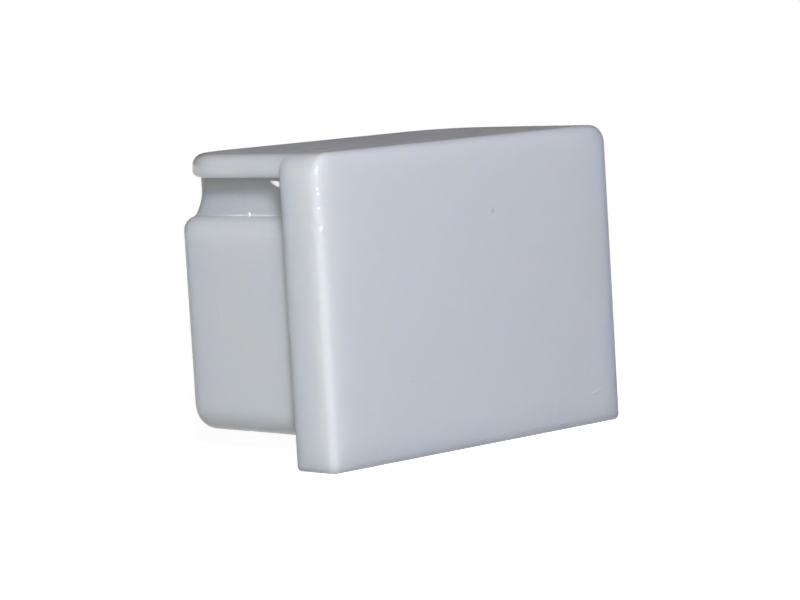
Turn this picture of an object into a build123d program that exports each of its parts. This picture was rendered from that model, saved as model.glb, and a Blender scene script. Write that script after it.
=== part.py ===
from build123d import *
import math
import os

os.makedirs("parts", exist_ok=True)

# Profile end cap, one moulding, millimetres.
# X runs across the profile, -Y is the side that shows once the cap is fitted,
# +Y runs into the profile, +Z is up. The cap is drawn from the middle of the
# bottom edge of its visible face, and moved at the end so that the origin is in
# the plane where the cut end of the profile seats, at the middle of the plate.

# Profile that the cap closes: a channel, open at the top
PROFILE_WIDTH = 16.0
PROFILE_HEIGHT = 12.0
PROFILE_WALL = 0.8
PROFILE_FLOOR = 0.9

# How far the cover plate stands out past the profile, and the gap from the plug
# to the profile's walls and floor
PLATE_OVERHANG = 0.1
PLUG_CLEARANCE = 0.05

# Cover plate
PLATE_THICK = 2.1
PLATE_TOP_RADIUS = 0.8
PLATE_BOTTOM_RADIUS = 0.25
PLATE_FRONT_ROUND = 0.28
PLATE_REAR_ROUND = 0.05

# Plug body behind the plate
PLUG_DEPTH = 7.3
PLUG_BOTTOM_RADIUS = 1.1
PLUG_REAR_ROUND = 0.6

# Groove along each upper side, which clears the rolled top of the profile wall.
# It ends at a crease on top of the body's shoulder.
GROOVE_DEPTH = 1.07
GROOVE_RADIUS = 1.38
GROOVE_BELOW_LIP = 0.56
SHOULDER_BELOW_LIP = 1.58
SHOULDER_RADIUS = 0.61

# Top lip, which closes the open top of the profile
LIP_THICK = 0.92
LIP_DEPTH = 7.0
LIP_SIDE_SET_IN = 0.12
LIP_CORNER_RADIUS = 2.7
LIP_TOP_ROUND = 0.5
LIP_BOTTOM_ROUND = 0.25

# Top of the neck between the grooves, sunk in the lip
NECK_BELOW_TOP = 0.2
NECK_TOP_RADIUS = 0.7

# Sizes that follow from the ones above
plate_width = PROFILE_WIDTH + 2 * PLATE_OVERHANG
plate_height = PROFILE_HEIGHT + 2 * PLATE_OVERHANG
plug_bottom = PLATE_OVERHANG + PROFILE_FLOOR + PLUG_CLEARANCE
plug_half_width = PROFILE_WIDTH / 2 - PROFILE_WALL - PLUG_CLEARANCE
neck_half_width = plug_half_width - GROOVE_DEPTH
neck_top = plate_height - NECK_BELOW_TOP
lip_half_width = PROFILE_WIDTH / 2 - LIP_SIDE_SET_IN
lip_root = PLATE_THICK - 2 * PLATE_REAR_ROUND
lip_end = PLATE_THICK + LIP_DEPTH
lip_bottom = plate_height - LIP_THICK

# The side of the plug, from the neck down to the body, is two arcs that meet at a
# crease: a hollow one in the groove, and a full one on the shoulder that runs
# smoothly into the body's side.
groove_centre_x = neck_half_width + GROOVE_RADIUS
groove_centre_z = lip_bottom - GROOVE_BELOW_LIP
crease_z = lip_bottom - SHOULDER_BELOW_LIP
crease_deg = 180 + math.degrees(math.asin((groove_centre_z - crease_z) / GROOVE_RADIUS))
crease_x = groove_centre_x + GROOVE_RADIUS * math.cos(math.radians(crease_deg))
shoulder_centre_x = plug_half_width - SHOULDER_RADIUS
shoulder_deg = math.degrees(math.acos((crease_x - shoulder_centre_x) / SHOULDER_RADIUS))
shoulder_centre_z = crease_z - SHOULDER_RADIUS * math.sin(math.radians(shoulder_deg))


def on_circle(centre, radius, direction_deg):
    """Point of a circle in the section plane, in the given direction from its centre."""
    direction = math.radians(direction_deg)
    return (centre[0] + radius * math.cos(direction), centre[1] + radius * math.sin(direction))


def arc(centre, radius, start_deg, end_deg):
    """Arc of a circle in the section plane, between two directions from its centre."""
    return ThreePointArc(
        on_circle(centre, radius, start_deg),
        on_circle(centre, radius, (start_deg + end_deg) / 2),
        on_circle(centre, radius, end_deg),
    )


# Cover plate: rounded outline stood up in XZ, pushed back along +Y
with BuildPart() as plate_build:
    with BuildSketch(Plane.XZ):
        with Locations((0, plate_height / 2)):
            Rectangle(plate_width, plate_height)
        fillet(vertices().group_by(Axis.Y)[0], PLATE_BOTTOM_RADIUS)
        fillet(vertices().group_by(Axis.Y)[-1], PLATE_TOP_RADIUS)
    extrude(amount=-PLATE_THICK)
    fillet(faces().sort_by(Axis.Y)[0].edges(), PLATE_FRONT_ROUND)
    fillet(faces().sort_by(Axis.Y)[-1].edges(), PLATE_REAR_ROUND)
plate = plate_build.part

# Plug: one half of its section, from the floor up to the neck and in to the
# middle, mirrored, and pushed back from inside the plate
bottom_centre = (plug_half_width - PLUG_BOTTOM_RADIUS, plug_bottom + PLUG_BOTTOM_RADIUS)
shoulder_centre = (shoulder_centre_x, shoulder_centre_z)
groove_centre = (groove_centre_x, groove_centre_z)
neck_centre = (neck_half_width - NECK_TOP_RADIUS, neck_top - NECK_TOP_RADIUS)
with BuildPart() as plug_build:
    with BuildSketch(Plane.XZ.offset(-PLATE_THICK / 2)):
        with BuildLine():
            bottom_arc = arc(bottom_centre, PLUG_BOTTOM_RADIUS, -90, 0)
            shoulder_arc = arc(shoulder_centre, SHOULDER_RADIUS, 0, shoulder_deg)
            groove_arc = arc(groove_centre, GROOVE_RADIUS, crease_deg, 180)
            neck_arc = arc(neck_centre, NECK_TOP_RADIUS, 0, 90)
            Line((0, plug_bottom), bottom_arc @ 0)
            Line(bottom_arc @ 1, shoulder_arc @ 0)
            Line(groove_arc @ 1, neck_arc @ 0)
            Line(neck_arc @ 1, (0, neck_top))
            Line((0, neck_top), (0, plug_bottom))
        make_face()
        mirror(about=Plane.YZ)
    extrude(amount=-(PLATE_THICK / 2 + PLUG_DEPTH))
    fillet(faces().sort_by(Axis.Y)[-1].edges(), PLUG_REAR_ROUND)
plug = plug_build.part

# Lip: flat tongue with rounded rear corners, rooted just inside the plate's rear
# face. The edge of its top is rounder than that of its underside.
with BuildPart() as lip_build:
    with BuildSketch(Plane.XY.offset(lip_bottom)):
        with Locations((0, (lip_root + lip_end) / 2)):
            Rectangle(2 * lip_half_width, lip_end - lip_root)
        fillet(vertices().group_by(Axis.Y)[-1], LIP_CORNER_RADIUS)
    extrude(amount=LIP_THICK)
    inner_edges = faces().sort_by(Axis.Y)[0].edges()
    fillet(edges().group_by(Axis.Z)[-1] - inner_edges, LIP_TOP_ROUND)
    fillet(edges().group_by(Axis.Z)[0] - inner_edges, LIP_BOTTOM_ROUND)
lip = lip_build.part

# The seat is the rear face of the plate
cap = Pos(0, -PLATE_THICK, -plate_height / 2) * (plate + plug + lip)

export_step(cap, "parts/end_cap.step")
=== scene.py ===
import logging
import math
from dataclasses import dataclass
from enum import Enum

import bmesh
import bpy
from mathutils import Euler, Matrix, Vector


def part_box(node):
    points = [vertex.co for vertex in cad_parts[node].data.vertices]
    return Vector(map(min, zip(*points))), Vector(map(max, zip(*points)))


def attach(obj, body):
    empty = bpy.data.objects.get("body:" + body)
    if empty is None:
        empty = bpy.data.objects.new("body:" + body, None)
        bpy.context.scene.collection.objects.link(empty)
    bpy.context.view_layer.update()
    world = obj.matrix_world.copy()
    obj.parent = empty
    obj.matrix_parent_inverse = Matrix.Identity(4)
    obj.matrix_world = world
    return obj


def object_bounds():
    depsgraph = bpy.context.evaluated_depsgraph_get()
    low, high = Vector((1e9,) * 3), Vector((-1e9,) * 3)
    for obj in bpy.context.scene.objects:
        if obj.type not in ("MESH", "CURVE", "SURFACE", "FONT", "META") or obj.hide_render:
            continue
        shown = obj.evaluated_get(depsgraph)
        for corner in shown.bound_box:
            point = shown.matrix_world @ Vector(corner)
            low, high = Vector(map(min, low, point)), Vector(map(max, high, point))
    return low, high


# Profile end cap: one satin moulding of light grey polyethylene, in metres.
# -Y is the cover plate's visible face, +Y the way the plug goes into a profile,
# +Z the lip side. The origin is in the plane of the plate's rear face.

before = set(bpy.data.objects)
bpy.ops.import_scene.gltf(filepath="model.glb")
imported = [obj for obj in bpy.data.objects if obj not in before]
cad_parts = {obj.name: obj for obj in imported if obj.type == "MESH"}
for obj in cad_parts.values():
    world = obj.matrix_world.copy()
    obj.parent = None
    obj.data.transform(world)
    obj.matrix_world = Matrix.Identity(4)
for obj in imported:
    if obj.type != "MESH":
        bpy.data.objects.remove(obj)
CAD_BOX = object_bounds()
MM = 0.001
# Where the side of the plug's body is, left of the middle
PLUG_SIDE_X = -7.15 * MM
# Range that most of a noise texture's values fill
NOISE_LOW, NOISE_HIGH = 0.3, 0.7
LAMP_DISTANCE = 140.0 * MM
log = logging.getLogger("end_cap")


def hex_to_linear(code: str) -> tuple[float, float, float, float]:
    """Turns an sRGB hex colour into the linear RGBA that shaders use.

    Args:
        code: Six hex digits, with or without a leading #.

    Returns:
        Linear red, green, blue and an alpha of 1.
    """
    code = code.lstrip("#")
    channels = [int(code[i : i + 2], 16) / 255 for i in (0, 2, 4)]
    linear = [c / 12.92 if c <= 0.04045 else ((c + 0.055) / 1.055) ** 2.4 for c in channels]
    return (linear[0], linear[1], linear[2], 1.0)


def add_node(tree: bpy.types.NodeTree, kind: str, inputs: dict | None = None, **settings) -> bpy.types.Node:
    """Adds one shader node, sets its properties, and fills or links its inputs.

    Args:
        tree: Node tree that gets the node.
        kind: Blender's name of the node type.
        inputs: Input name or number to a plain value, or to an output socket to link.
        **settings: Properties of the node itself.

    Returns:
        The new node.
    """
    node = tree.nodes.new(kind)
    for name, value in settings.items():
        setattr(node, name, value)
    for name, value in (inputs or {}).items():
        if isinstance(value, bpy.types.NodeSocket):
            tree.links.new(value, node.inputs[name])
        else:
            node.inputs[name].default_value = value
    return node


class MarkKind(Enum):
    """What left a mark on the skin of the moulding, with the colour it tints towards."""

    PIT = "#20242C"
    SPECK = "#2A2724"
    # The white kind tints scratches, and also paints a highlight along the body's top ridge.
    SCRATCH_AND_HIGHLIGHT = "#FFFFFF"


@dataclass(frozen=True)
class Mark:
    """A small mark in the moulded skin.

    Attributes:
        kind: Pit, dark speck, scratch, or painted highlight.
        centre: Its middle, in metres.
        half_size: Half its extent along its own X, Y and Z, in metres.
        turn: Rotation of its own axes, in degrees about X, Y and Z.
        height: How far it stands out of the skin, in metres; negative goes in.
        tint: How far the skin's colour goes towards the kind's own, from 0 to 1.
    """

    kind: MarkKind
    centre: tuple[float, float, float]
    half_size: tuple[float, float, float]
    turn: tuple[float, float, float]
    height: float
    tint: float


@dataclass(frozen=True)
class Ripple:
    """A patch where the tool's surface is uneven, as on an edge that was filed by hand.

    Attributes:
        centre: Middle of the patch, in metres.
        half_size: Half its extent along X, Y and Z, in metres.
        spacing: Spacing of the unevenness along X, Y and Z, in metres.
        height: How high it is, in metres.
    """

    centre: tuple[float, float, float]
    half_size: tuple[float, float, float]
    spacing: tuple[float, float, float]
    height: float


@dataclass(frozen=True)
class SatinPolyethylene:
    """Light grey pigmented polyethylene, injection moulded in a finely blasted tool.

    The pigment is thin, so light goes a few millimetres in before it turns back:
    edges glow, shadows have soft borders, and the skin looks waxy. The blasted tool
    leaves a fine grain that spreads highlights into a satin sheen. The grain is
    drawn a little coarser than it is, so that it shows.

    Attributes:
        name: Material name.
        skin: sRGB colour of the skin.
        cool: sRGB colour of the bluer clouds of pigment.
        warm: sRGB colour of the greyer clouds of pigment.
        roughness: Middle roughness of the skin.
        roughness_spread: How far the roughness goes to each side of that.
        ior: Index of refraction of polyethylene.
        specular: Specular level, 0.5 being that of the IOR alone.
        scatter: Share of the light that goes inside and scatters, from 0 to 1.
        scatter_mm: Mean distance that light goes inside, in millimetres.
        scatter_tint: That distance for red, green and blue, as a share of it.
        grain_mm: Spacing of the blasted grain, in millimetres.
        grain_height_mm: Height of that grain, in millimetres.
        ripple_mm: Spacing of the slow unevenness of the skin, in millimetres.
        ripple_height_mm: Height of that unevenness, in millimetres.
        sheen_mm: Spacing of the patches of more and less sheen, in millimetres.
        cloud_mm: Spacing of the pigment clouds, in millimetres.
    """

    name: str = "polyethylene_satin_moulded"
    skin: str = "#C1C6CE"
    cool: str = "#C0C6CF"
    warm: str = "#C2C6CD"
    roughness: float = 0.2
    roughness_spread: float = 0.04
    ior: float = 1.51
    specular: float = 0.36
    scatter: float = 1.0
    scatter_mm: float = 3.0
    scatter_tint: tuple[float, float, float] = (1.15, 1.0, 0.75)
    grain_mm: float = 0.11
    grain_height_mm: float = 0.0016
    ripple_mm: float = 0.34
    ripple_height_mm: float = 0.006
    sheen_mm: float = 0.9
    cloud_mm: float = 2.6

    def build(self, marks: list[Mark], ripples: list[Ripple]) -> bpy.types.Material:
        """Makes the node material.

        Args:
            marks: Marks drawn into its colour and bump.
            ripples: Uneven patches drawn into its bump.

        Returns:
            The material.
        """
        material = bpy.data.materials.new(self.name)
        material.use_nodes = True
        tree = material.node_tree
        tree.nodes.clear()
        place = add_node(tree, "ShaderNodeTexCoord").outputs["Object"]

        colour = self._pigment(tree, place)
        height = self._surface(tree, place)
        for mark in marks:
            mask = self._patch(tree, place, mark.centre, mark.half_size, mark.turn)
            colour = self._tinted(tree, colour, mask, mark)
            height = add_node(
                tree,
                "ShaderNodeMath",
                {0: mask, 1: mark.height / MM, 2: height},
                operation="MULTIPLY_ADD",
            ).outputs[0]
        for ripple in ripples:
            height = self._rippled(tree, place, height, ripple)

        bump = add_node(
            tree, "ShaderNodeBump", {"Strength": 1.0, "Distance": MM, "Height": height}
        )
        shader = add_node(
            tree,
            "ShaderNodeBsdfPrincipled",
            {
                "Base Color": colour,
                "Roughness": self._sheen(tree, place),
                "IOR": self.ior,
                "Specular IOR Level": self.specular,
                "Subsurface Weight": self.scatter,
                "Subsurface Radius": self.scatter_tint,
                "Subsurface Scale": self.scatter_mm * MM,
                "Normal": bump.outputs["Normal"],
            },
            subsurface_method="RANDOM_WALK",
        )
        add_node(tree, "ShaderNodeOutputMaterial", {"Surface": shader.outputs["BSDF"]})
        return material

    def _pigment(self, tree: bpy.types.NodeTree, place: bpy.types.NodeSocket) -> bpy.types.NodeSocket:
        """Colours the skin with slow cooler and greyer clouds, as pigment flows unevenly.

        Args:
            tree: Node tree that gets the nodes.
            place: Socket with the object coordinates.

        Returns:
            The socket that holds the colour.
        """
        clouds = add_node(
            tree,
            "ShaderNodeTexNoise",
            {"Vector": place, "Scale": 1.0 / (self.cloud_mm * MM), "Detail": 2.0, "Roughness": 0.5},
        )
        ramp = add_node(tree, "ShaderNodeValToRGB", {"Fac": clouds.outputs["Fac"]})
        stops = ramp.color_ramp.elements
        stops[0].position = NOISE_LOW
        stops[0].color = hex_to_linear(self.cool)
        stops[1].position = NOISE_HIGH
        stops[1].color = hex_to_linear(self.warm)
        middle = stops.new(0.5)
        middle.color = hex_to_linear(self.skin)
        return ramp.outputs["Color"]

    def _surface(self, tree: bpy.types.NodeTree, place: bpy.types.NodeSocket) -> bpy.types.NodeSocket:
        """Draws the height of the skin: blasted grain on a slow ripple.

        Args:
            tree: Node tree that gets the nodes.
            place: Socket with the object coordinates.

        Returns:
            The socket that holds the height, in millimetres.
        """
        grain = add_node(
            tree,
            "ShaderNodeTexNoise",
            {"Vector": place, "Scale": 1.0 / (self.grain_mm * MM), "Detail": 2.0, "Roughness": 0.5},
        )
        ripple = add_node(
            tree,
            "ShaderNodeTexNoise",
            {"Vector": place, "Scale": 1.0 / (self.ripple_mm * MM), "Detail": 1.0, "Roughness": 0.5},
        )
        grain_height = add_node(
            tree,
            "ShaderNodeMath",
            {0: grain.outputs["Fac"], 1: self.grain_height_mm},
            operation="MULTIPLY",
        )
        return add_node(
            tree,
            "ShaderNodeMath",
            {0: ripple.outputs["Fac"], 1: self.ripple_height_mm, 2: grain_height.outputs[0]},
            operation="MULTIPLY_ADD",
        ).outputs[0]

    def _sheen(self, tree: bpy.types.NodeTree, place: bpy.types.NodeSocket) -> bpy.types.NodeSocket:
        """Varies the roughness a little over the skin.

        Args:
            tree: Node tree that gets the nodes.
            place: Socket with the object coordinates.

        Returns:
            The socket that holds the roughness.
        """
        patches = add_node(
            tree,
            "ShaderNodeTexNoise",
            {"Vector": place, "Scale": 1.0 / (self.sheen_mm * MM), "Detail": 3.0, "Roughness": 0.5},
        )
        return add_node(
            tree,
            "ShaderNodeMapRange",
            {
                "Value": patches.outputs["Fac"],
                "From Min": NOISE_LOW,
                "From Max": NOISE_HIGH,
                "To Min": self.roughness - self.roughness_spread,
                "To Max": self.roughness + self.roughness_spread,
            },
        ).outputs["Result"]

    def _patch(self, tree: bpy.types.NodeTree, place: bpy.types.NodeSocket,
               centre: tuple[float, float, float], half_size: tuple[float, float, float],
               turn: tuple[float, float, float]) -> bpy.types.NodeSocket:
        """Draws a mask: 1 in the middle of an ellipsoid, falling softly to 0 at its rim.

        Args:
            tree: Node tree that gets the nodes.
            place: Socket with the object coordinates.
            centre: Middle of the ellipsoid, in metres.
            half_size: Its half axes, in metres.
            turn: Rotation of those axes, in degrees about X, Y and Z.

        Returns:
            The socket that holds the mask.
        """
        local = add_node(
            tree,
            "ShaderNodeMapping",
            {
                "Vector": place,
                "Location": centre,
                "Rotation": tuple(math.radians(angle) for angle in turn),
                "Scale": half_size,
            },
            vector_type="TEXTURE",
        )
        length = add_node(
            tree, "ShaderNodeVectorMath", {0: local.outputs["Vector"]}, operation="LENGTH"
        )
        return add_node(
            tree,
            "ShaderNodeMapRange",
            {"Value": length.outputs["Value"], "From Min": 1.0, "From Max": 0.0},
            interpolation_type="SMOOTHSTEP",
        ).outputs["Result"]

    def _tinted(self, tree: bpy.types.NodeTree, colour: bpy.types.NodeSocket,
                mask: bpy.types.NodeSocket, mark: Mark) -> bpy.types.NodeSocket:
        """Takes the colour towards a mark's own where the mask is 1.

        Args:
            tree: Node tree that gets the nodes.
            colour: Socket with the colour so far.
            mask: Socket with the mark's mask.
            mark: The mark.

        Returns:
            The socket that holds the new colour.
        """
        share = add_node(tree, "ShaderNodeMath", {0: mask, 1: mark.tint}, operation="MULTIPLY")
        mixed = add_node(
            tree,
            "ShaderNodeMix",
            {"Factor": share.outputs[0], "A": colour, "B": hex_to_linear(mark.kind.value)},
            data_type="RGBA",
        )
        return mixed.outputs["Result"]

    def _rippled(self, tree: bpy.types.NodeTree, place: bpy.types.NodeSocket,
                 height: bpy.types.NodeSocket, ripple: Ripple) -> bpy.types.NodeSocket:
        """Adds an uneven patch to the height: noise round 0, stretched to its spacing.

        Args:
            tree: Node tree that gets the nodes.
            place: Socket with the object coordinates.
            height: Socket with the height so far, in millimetres.
            ripple: The uneven patch.

        Returns:
            The socket that holds the new height, in millimetres.
        """
        mask = self._patch(tree, place, ripple.centre, ripple.half_size, (0, 0, 0))
        local = add_node(
            tree, "ShaderNodeMapping", {"Vector": place, "Scale": ripple.spacing}, vector_type="TEXTURE"
        )
        noise = add_node(
            tree,
            "ShaderNodeTexNoise",
            {"Vector": local.outputs["Vector"], "Scale": 1.0, "Detail": 1.0, "Roughness": 0.5},
        )
        waves = add_node(
            tree, "ShaderNodeMath", {0: noise.outputs["Fac"], 1: 0.5}, operation="SUBTRACT"
        )
        share = add_node(
            tree, "ShaderNodeMath", {0: mask, 1: waves.outputs[0]}, operation="MULTIPLY"
        )
        return add_node(
            tree,
            "ShaderNodeMath",
            {0: share.outputs[0], 1: ripple.height / MM, 2: height},
            operation="MULTIPLY_ADD",
        ).outputs[0]


@dataclass(frozen=True)
class Flash:
    """A small lump of flash that was left on the moulding where the tool closes.

    Attributes:
        name: Its name.
        centre: Its middle, in metres.
        half_size: Half its extent along its own X, Y and Z, in metres.
        turn: Rotation of its own axes, in degrees about X, Y and Z.
        taper: Share of its thickness that is lost at its +Y end.
    """

    name: str
    centre: tuple[float, float, float]
    half_size: tuple[float, float, float]
    turn: tuple[float, float, float] = (0.0, 0.0, 0.0)
    taper: float = 0.0

    def build(self, material: bpy.types.Material) -> bpy.types.Object:
        """Makes the lump, rooted in the skin of the moulding.

        Args:
            material: Finish of the flash.

        Returns:
            The lump's object.
        """
        mesh = bpy.data.meshes.new(self.name)
        shape = bmesh.new()
        bmesh.ops.create_icosphere(shape, subdivisions=3, radius=1.0)
        for vert in shape.verts:
            thin = 1.0 - self.taper * (vert.co.y + 1.0) / 2.0
            vert.co.x *= thin
            vert.co.z *= thin
        bmesh.ops.scale(shape, verts=shape.verts, vec=self.half_size)
        turn = Euler([math.radians(angle) for angle in self.turn]).to_matrix()
        bmesh.ops.rotate(shape, verts=shape.verts, cent=(0, 0, 0), matrix=turn)
        bmesh.ops.translate(shape, verts=shape.verts, vec=self.centre)
        bmesh.ops.recalc_face_normals(shape, faces=shape.faces)
        shape.to_mesh(mesh)
        shape.free()
        mesh.shade_smooth()
        lump = bpy.data.objects.new(self.name, mesh)
        bpy.context.scene.collection.objects.link(lump)
        mesh.materials.append(material)
        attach(lump, "root")
        log.info("%s built", self.name)
        return lump


@dataclass
class EndCap:
    """The moulding: its CAD node keeps its shape, and gets its finish and flash here.

    Attributes:
        node: Name of the CAD node.
        finish: Finish of the plastic.
        flash_finish: Finish of the flash: paler than the skin and without scatter inside, a painted
            highlight for the glints on these small lumps.
        flashes: Lumps of flash left on it: one under the lip's outer edge beside the
            plate, and a small one on the body's crease.
    """

    node: str = "end_cap"
    finish: SatinPolyethylene = SatinPolyethylene()
    # The flash's pale colour is a painted highlight for the glints that its small lumps catch.
    flash_finish: SatinPolyethylene = SatinPolyethylene(
        name="polyethylene_flash_painted_bright", skin="#E6E8EA", cool="#E3E7EB", warm="#E8E8E6", scatter=0.0
    )
    flashes: tuple[Flash, ...] = (
        Flash("flash_under_lip", (-7.78 * MM, 0.54 * MM, 4.97 * MM),
              (0.12 * MM, 0.32 * MM, 0.15 * MM), (14, 0, 0), 0.6),
        Flash("nib_on_crease", (-6.58 * MM, 3.55 * MM, 3.66 * MM),
              (0.055 * MM, 0.08 * MM, 0.08 * MM)),
    )

    def marks(self) -> list[Mark]:
        """Lists the pit, the specks, the scuff low on the right, the fine scratches, and a painted
        highlight along the body's top ridge.

        Returns:
            The marks, in the order in which they are drawn.
        """
        low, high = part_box(self.node)
        front = low.y
        return [
            Mark(MarkKind.PIT, (1.24 * MM, front, high.z - 2.97 * MM),
                 (0.1 * MM, 0.2 * MM, 0.19 * MM), (0, 8, 0), -0.03 * MM, 0.28),
            Mark(MarkKind.SPECK, (-3.72 * MM, front, -3.05 * MM),
                 (0.09 * MM, 0.2 * MM, 0.09 * MM), (0, 0, 0), -0.004 * MM, 0.1),
            Mark(MarkKind.SPECK, (2.87 * MM, front, -0.35 * MM),
                 (0.05 * MM, 0.2 * MM, 0.14 * MM), (0, 20, 0), -0.006 * MM, 0.07),
            Mark(MarkKind.SCRATCH_AND_HIGHLIGHT, (6.62 * MM, front, -4.74 * MM),
                 (0.5 * MM, 0.2 * MM, 0.05 * MM), (0, -14, 0), 0.008 * MM, 0.35),
            Mark(MarkKind.SPECK, (6.7 * MM, front, -4.86 * MM),
                 (0.36 * MM, 0.2 * MM, 0.05 * MM), (0, -14, 0), -0.006 * MM, 0.13),
            Mark(MarkKind.SCRATCH_AND_HIGHLIGHT, (-3.86 * MM, -0.42 * MM, high.z),
                 (0.07 * MM, 0.07 * MM, 0.1 * MM), (0, 0, 0), 0.004 * MM, 0.4),
            # Painted highlight: a white line with no height along the body's top ridge, where the rounded
            # ridge catches the light.
            Mark(MarkKind.SCRATCH_AND_HIGHLIGHT, (-6.56 * MM, 3.6 * MM, 3.6 * MM),
                 (0.14 * MM, 3.4 * MM, 0.14 * MM), (0, 0, 0), 0.0, 0.8),
            Mark(MarkKind.SCRATCH_AND_HIGHLIGHT, (PLUG_SIDE_X, 4.98 * MM, -0.4 * MM),
                 (0.2 * MM, 0.035 * MM, 1.2 * MM), (-5, 0, 0), 0.003 * MM, 0.12),
            Mark(MarkKind.SCRATCH_AND_HIGHLIGHT, (PLUG_SIDE_X, 1.9 * MM, -1.57 * MM),
                 (0.2 * MM, 0.035 * MM, 0.55 * MM), (-5, 0, 0), 0.003 * MM, 0.16),
        ]

    def ripples(self) -> list[Ripple]:
        """Lists the beads down the left front edge, nicks along the top one and groove streaks.

        Returns:
            The uneven patches, in the order in which they are drawn.
        """
        low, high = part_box(self.node)
        left, front, top = low.x + 0.1 * MM, low.y + 0.1 * MM, high.z - 0.1 * MM
        return [
            Ripple((left, front, 3.9 * MM), (0.5 * MM, 0.5 * MM, 2.6 * MM),
                   (0.5 * MM, 0.5 * MM, 0.36 * MM), 0.13 * MM),
            Ripple((left, front, -0.5 * MM), (0.5 * MM, 0.5 * MM, 6.5 * MM),
                   (0.5 * MM, 0.5 * MM, 0.36 * MM), 0.07 * MM),
            Ripple((0.0, front, top), (9.0 * MM, 0.45 * MM, 0.45 * MM),
                   (0.8 * MM, 0.8 * MM, 0.8 * MM), 0.04 * MM),
            Ripple((-6.3 * MM, 3.5 * MM, 4.2 * MM), (1.2 * MM, 4.5 * MM, 0.9 * MM),
                   (0.6 * MM, 0.16 * MM, 2.0 * MM), 0.05 * MM),
        ]

    def build(self) -> bpy.types.Object:
        """Dresses the CAD node and adds its flash.

        Returns:
            The CAD node's object.
        """
        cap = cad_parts[self.node]
        material = self.finish.build(self.marks(), self.ripples())
        cap.data.materials.clear()
        cap.data.materials.append(material)
        log.info("%s dressed in %s", self.node, material.name)
        white = self.flash_finish.build([], [])
        for flash in self.flashes:
            flash.build(white)
        return cap


def direction(azimuth: float, elevation: float) -> Vector:
    """Unit vector from the cap towards a place round it.

    Args:
        azimuth: Degrees round the cap, 0 in front and 90 to the right.
        elevation: Degrees above the horizon.

    Returns:
        The direction.
    """
    a, e = math.radians(azimuth), math.radians(elevation)
    return Vector((math.sin(a) * math.cos(e), -math.cos(a) * math.cos(e), math.sin(e)))


@dataclass(frozen=True)
class Lamp:
    """A round soft lamp that points at the cap.

    Attributes:
        name: Its name.
        azimuth: Direction round the cap, in degrees, 0 in front and 90 to the right.
        elevation: Height above the horizon, in degrees.
        distance: From the origin, in metres.
        size: Diameter, in metres.
        power: In watts.
        tint: sRGB colour of its light.
        in_gloss: Whether it shows as a highlight.
    """

    name: str
    azimuth: float
    elevation: float
    distance: float
    size: float
    power: float
    tint: str = "#FFFFFF"
    in_gloss: bool = True

    def build(self) -> bpy.types.Object:
        """Makes the lamp.

        Returns:
            The lamp's object.
        """
        data = bpy.data.lights.new(self.name, "AREA")
        data.shape = "DISK"
        data.size = self.size
        data.energy = self.power
        data.color = hex_to_linear(self.tint)[:3]
        lamp = bpy.data.objects.new(self.name, data)
        bpy.context.scene.collection.objects.link(lamp)
        back = direction(self.azimuth, self.elevation)
        turn = back.to_track_quat("Z", "Y").to_matrix().to_4x4()
        lamp.matrix_world = Matrix.Translation(back * self.distance) @ turn
        lamp.visible_camera = False
        lamp.visible_glossy = self.in_gloss
        return lamp


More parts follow.
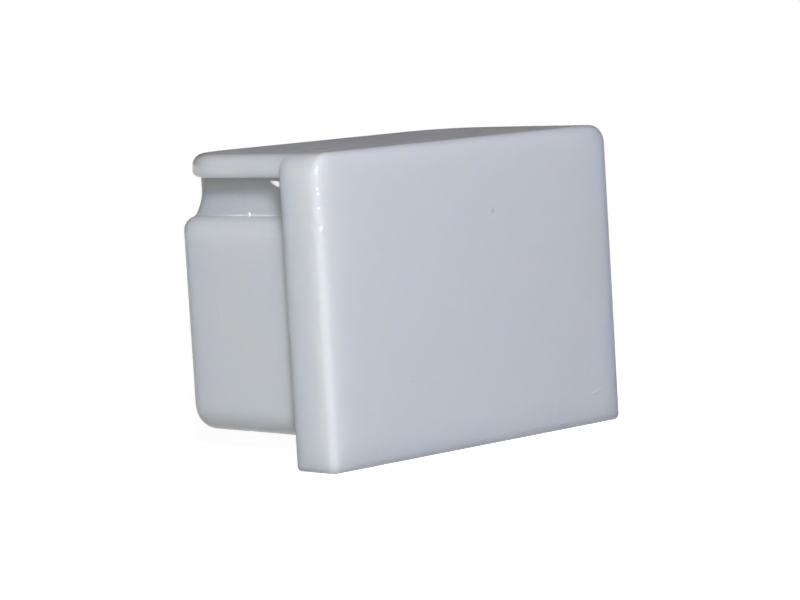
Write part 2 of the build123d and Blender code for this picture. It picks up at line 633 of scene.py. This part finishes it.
@dataclass
class Studio:
    """Pale floor, a soft lamp near the camera, a low fill behind, and a dim room.

    Attributes:
        azimuth: Camera's direction round the cap, in degrees, 0 in front.
        elevation: Camera's height above the horizon, in degrees.
        roll: Turn of the camera about its own line of sight, in degrees.
        distance: From the camera to the aim, in metres.
        aim: Point on the camera's axis, in metres.
        lens_mm: Focal length, in millimetres.
        shift: Lens shift across and up, as a share of the picture's width.
        key: Lamp near the camera, whose light makes the front edge's highlight.
        side: Large lamp on the plug's side.
        front: Weak cool fill on the visible face.
        rear: Weak cool fill behind.
        ceiling_level: Brightness of the room straight above.
        ceiling_tint: sRGB colour of the room.
        horizon_top: How far above the horizon the white background reaches, in degrees.
        horizon_fade: How far it takes to fade to each side of that, in degrees.
        shadow_depth: How much of the cap's shadow the floor keeps, from 0 to 1.
        floor_white_from: Distance from the cap where that shadow starts to fade, in metres.
        floor_white_to: Distance where the floor is plain white, in metres.
        floor_half_width: Half the floor's width, in metres.
        floor_bounce: How pale the floor is to the light that it throws back on the cap.
        floor_gain: Paleness of the layer that keeps the shadow, over 1 so that it is
            white where the lamps reach it.
        clip: Nearest and farthest distance that the camera sees, in metres.
    """

    azimuth: float = -42.69
    elevation: float = 5.6
    roll: float = 3.57
    distance: float = 127.65 * MM
    aim: tuple[float, float, float] = (-3.555 * MM, 1.952 * MM, -0.821 * MM)
    lens_mm: float = 145.2
    shift: tuple[float, float] = (0.074, 0.0258)
    key: Lamp = Lamp("key", -40.5, 17.5, LAMP_DISTANCE, 18.0 * MM, 0.216)
    side: Lamp = Lamp("side", -97.0, 8.0, LAMP_DISTANCE, 70.0 * MM, 0.0385, "#FCFFE6", in_gloss=False)
    front: Lamp = Lamp("front", 40.0, 30.0, LAMP_DISTANCE, 70.0 * MM, 0.014, "#C4D0FF")
    rear: Lamp = Lamp("rear", 137.0, 6.0, LAMP_DISTANCE, 70.0 * MM, 0.006, "#E8EEFF", in_gloss=False)
    ceiling_level: float = 0.1
    ceiling_tint: str = "#FFD6F4"
    horizon_top: float = 3.0
    horizon_fade: float = 1.0
    shadow_depth: float = 0.09
    floor_white_from: float = 25.0 * MM
    floor_white_to: float = 45.0 * MM
    floor_half_width: float = 3.0
    floor_bounce: float = 0.3
    floor_gain: float = 8.0
    clip: tuple[float, float] = (1.0 * MM, 100.0)

    def build_camera(self) -> bpy.types.Object:
        """Makes the scene's camera.

        Returns:
            The camera's object.
        """
        data = bpy.data.cameras.new("camera")
        data.lens = self.lens_mm
        data.shift_x, data.shift_y = self.shift
        data.clip_start, data.clip_end = self.clip
        camera = bpy.data.objects.new("camera", data)
        bpy.context.scene.collection.objects.link(camera)
        back = direction(self.azimuth, self.elevation)
        turn = back.to_track_quat("Z", "Y").to_matrix()
        turn = turn @ Euler((0, 0, math.radians(-self.roll))).to_matrix()
        place = Matrix.Translation(Vector(self.aim) + back * self.distance)
        camera.matrix_world = place @ turn.to_4x4()
        bpy.context.scene.camera = camera
        return camera

    def build_room(self) -> None:
        """Makes a dim room over a white horizon, which only the camera and reflections see."""
        world = bpy.data.worlds.new("room")
        world.use_nodes = True
        tree = world.node_tree
        tree.nodes.clear()
        toward = add_node(tree, "ShaderNodeTexCoord").outputs["Generated"]
        rise = add_node(tree, "ShaderNodeSeparateXYZ", {"Vector": toward}).outputs["Z"]
        horizon = add_node(
            tree,
            "ShaderNodeMapRange",
            {
                "Value": rise,
                "From Min": math.sin(math.radians(self.horizon_top - self.horizon_fade)),
                "From Max": math.sin(math.radians(self.horizon_top + self.horizon_fade)),
                "To Min": 1.0,
                "To Max": 0.0,
            },
        ).outputs["Result"]
        white_share = add_node(
            tree, "ShaderNodeMath", {0: horizon, 1: seen_directly(tree)}, operation="MULTIPLY"
        ).outputs[0]
        facing = add_node(
            tree, "ShaderNodeMapRange", {"Value": rise, "To Max": self.ceiling_level}
        ).outputs["Result"]
        dim = add_node(
            tree,
            "ShaderNodeBackground",
            {"Color": hex_to_linear(self.ceiling_tint), "Strength": facing},
        )
        white = add_node(tree, "ShaderNodeBackground", {"Color": (1.0, 1.0, 1.0, 1.0), "Strength": 1.0})
        mix = add_node(
            tree,
            "ShaderNodeMixShader",
            {0: white_share, 1: dim.outputs["Background"], 2: white.outputs["Background"]},
        )
        add_node(tree, "ShaderNodeOutputWorld", {"Surface": mix.outputs["Shader"]})
        bpy.context.scene.world = world

    def build_floor(self) -> bpy.types.Object:
        """Makes the pale floor under the cap.

        Returns:
            The floor's object.
        """
        low, _ = CAD_BOX
        mesh = bpy.data.meshes.new("floor")
        shape = bmesh.new()
        bmesh.ops.create_grid(shape, x_segments=1, y_segments=1, size=self.floor_half_width)
        bmesh.ops.translate(shape, verts=shape.verts, vec=(0, 0, low.z))
        shape.to_mesh(mesh)
        shape.free()
        floor = bpy.data.objects.new("floor", mesh)
        bpy.context.scene.collection.objects.link(floor)
        mesh.materials.append(self.floor_material())
        return floor

    def floor_material(self) -> bpy.types.Material:
        """Makes white card: plain white but for the cap's shadow round its foot.

        Returns:
            The material.
        """
        material = bpy.data.materials.new("white_card")
        material.use_nodes = True
        tree = material.node_tree
        tree.nodes.clear()
        path = add_node(tree, "ShaderNodeLightPath")
        place = add_node(tree, "ShaderNodeTexCoord").outputs["Object"]
        away = add_node(tree, "ShaderNodeVectorMath", {0: place}, operation="LENGTH").outputs["Value"]
        near = add_node(
            tree,
            "ShaderNodeMapRange",
            {
                "Value": away,
                "From Min": self.floor_white_from,
                "From Max": self.floor_white_to,
                "To Min": 1.0,
                "To Max": 0.0,
            },
            interpolation_type="SMOOTHSTEP",
        ).outputs["Result"]
        shaded_share = add_node(
            tree, "ShaderNodeMath", {0: near, 1: path.outputs["Is Camera Ray"]}, operation="MULTIPLY"
        ).outputs[0]
        dull = add_node(tree, "ShaderNodeBsdfDiffuse", {"Color": (*[self.floor_bounce] * 3, 1.0)})
        shaded = add_node(tree, "ShaderNodeBsdfDiffuse", {"Color": (*[self.floor_gain] * 3, 1.0)})
        white = add_node(tree, "ShaderNodeEmission", {"Color": (1.0, 1.0, 1.0, 1.0), "Strength": 1.0})
        shadow_share = add_node(
            tree, "ShaderNodeMath", {0: shaded_share, 1: self.shadow_depth}, operation="MULTIPLY"
        ).outputs[0]
        lit = add_node(
            tree,
            "ShaderNodeMixShader",
            {0: shadow_share, 1: white.outputs["Emission"], 2: shaded.outputs["BSDF"]},
        )
        mix = add_node(
            tree,
            "ShaderNodeMixShader",
            {0: seen_directly(tree), 1: dull.outputs["BSDF"], 2: lit.outputs["Shader"]},
        )
        add_node(tree, "ShaderNodeOutputMaterial", {"Surface": mix.outputs["Shader"]})
        return material

    def build(self) -> None:
        """Makes the floor, lamps, room and camera."""
        self.build_camera()
        for lamp in (self.key, self.side, self.front, self.rear):
            lamp.build()
        self.build_room()
        self.build_floor()
        bpy.context.scene.view_settings.view_transform = "Standard"
        log.info("studio built")


def seen_directly(tree: bpy.types.NodeTree) -> bpy.types.NodeSocket:
    """1 for camera, glossy and transmission rays, and 0 for the light that falls on things.

    Args:
        tree: Node tree that gets the nodes.

    Returns:
        The socket that holds that number.
    """
    path = add_node(tree, "ShaderNodeLightPath")
    either = add_node(
        tree,
        "ShaderNodeMath",
        {0: path.outputs["Is Camera Ray"], 1: path.outputs["Is Glossy Ray"]},
        operation="MAXIMUM",
    )
    return add_node(
        tree,
        "ShaderNodeMath",
        {0: either.outputs[0], 1: path.outputs["Is Transmission Ray"]},
        operation="MAXIMUM",
    ).outputs[0]


def main() -> None:
    """Builds the cap's finish and its studio."""
    logging.basicConfig(level=logging.INFO)
    EndCap().build()
    Studio().build()


if __name__ == "__main__":
    main()
